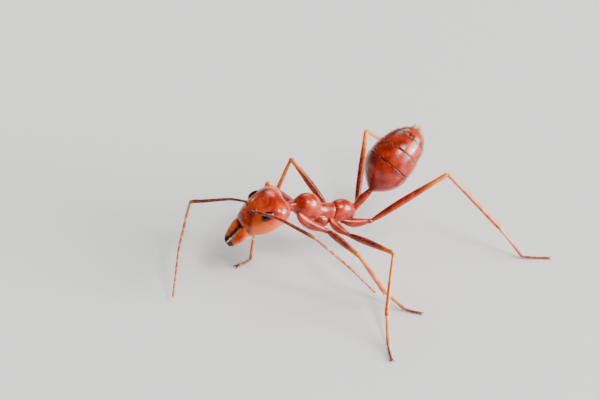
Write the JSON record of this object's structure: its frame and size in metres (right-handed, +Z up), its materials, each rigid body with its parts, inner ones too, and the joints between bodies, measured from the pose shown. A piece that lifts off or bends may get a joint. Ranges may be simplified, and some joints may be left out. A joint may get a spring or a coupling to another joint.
{
  "type": "weaver ant",
  "caption": "Weaver ant major worker, life size, standing with its gaster raised and its feelers spread.",
  "frame": {"origin": "on the floor under the middle of the ant's bounding box", "axes": "+Z up, the head towards -Y, the ant's left side towards +X"},
  "size_m": [0.012, 0.0136, 0.0045],
  "materials": {
    "chitin_red": "glossy orange-red chitin",
    "chitin_amber": "glossy amber chitin",
    "chitin_gaster": "glossy deep red chitin",
    "chitin_feeler": "satin amber chitin under fine down",
    "eye_black": "polished black facets"
  },
  "bodies": {
    "root": {"basitarsus_fore_left": "chitin_amber", "basitarsus_fore_right": "chitin_amber", "basitarsus_hind_left": "chitin_amber", "basitarsus_hind_right": "chitin_amber", "basitarsus_mid_left": "chitin_amber", "basitarsus_mid_right": "chitin_amber", "coxa_fore_left": "chitin_red", "coxa_fore_right": "chitin_red", "coxa_hind_left": "chitin_red", "coxa_hind_right": "chitin_red", "coxa_mid_left": "chitin_red", "coxa_mid_right": "chitin_red", "eye_left": "eye_black", "eye_right": "eye_black", "femur_fore_left": "chitin_red", "femur_fore_right": "chitin_red", "femur_hind_left": "chitin_red", "femur_hind_right": "chitin_red", "femur_mid_left": "chitin_red", "femur_mid_right": "chitin_red", "funiculus_left": "chitin_feeler", "funiculus_right": "chitin_feeler", "gaster_1": "chitin_gaster", "gaster_2": "chitin_gaster", "gaster_3": "chitin_gaster", "gaster_4": "chitin_gaster", "head": "chitin_red", "mandible_left": "chitin_amber", "mandible_right": "chitin_amber", "mesothorax": "chitin_red", "petiole": "chitin_red", "pronotum": "chitin_red", "propodeum": "chitin_red", "scape_left": "chitin_amber", "scape_right": "chitin_amber", "tibia_fore_left": "chitin_amber", "tibia_fore_right": "chitin_amber", "tibia_hind_left": "chitin_amber", "tibia_hind_right": "chitin_amber", "tibia_mid_left": "chitin_amber", "tibia_mid_right": "chitin_amber", "toes_fore_left": "chitin_red", "toes_fore_right": "chitin_red", "toes_hind_left": "chitin_red", "toes_hind_right": "chitin_red", "toes_mid_left": "chitin_red", "toes_mid_right": "chitin_red"}
  },
  "joints": []
}
